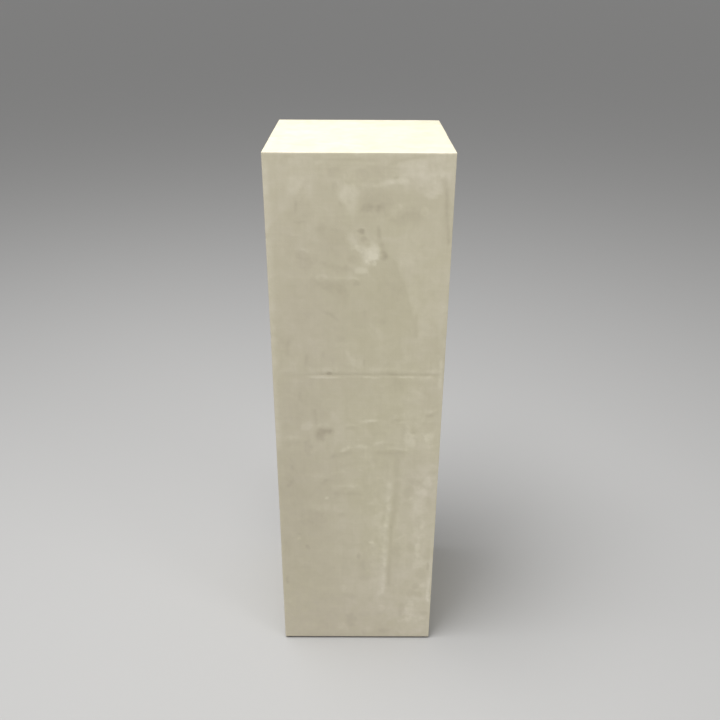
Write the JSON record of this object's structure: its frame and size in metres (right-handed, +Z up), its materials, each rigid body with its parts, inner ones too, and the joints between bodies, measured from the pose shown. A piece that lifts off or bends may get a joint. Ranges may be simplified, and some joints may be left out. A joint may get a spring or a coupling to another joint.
{
  "type": "plinth",
  "caption": "Tall square display plinth with a trowelled plaster finish: a hollow box, open below, on low felt feet, with a flat top for a work to stand on.",
  "frame": {"origin": "on the floor, under the middle of the plinth", "axes": "+Z up, +X to the right and -Y towards the viewer of the front face, which carries the long horizontal trowel line"},
  "size_m": [0.3, 0.3, 1.004],
  "materials": {
    "trowelled_plaster": "hand-trowelled fine plaster in a warm greenish grey, sealed to a low sheen, clouded, with faint trowel lines and a few stains",
    "dark_felt": "dense dark wool felt"
  },
  "bodies": {
    "root": {"plastered_box": "trowelled_plaster", "felt_foot_front_left": "dark_felt", "felt_foot_front_right": "dark_felt", "felt_foot_back_left": "dark_felt", "felt_foot_back_right": "dark_felt"}
  },
  "joints": []
}
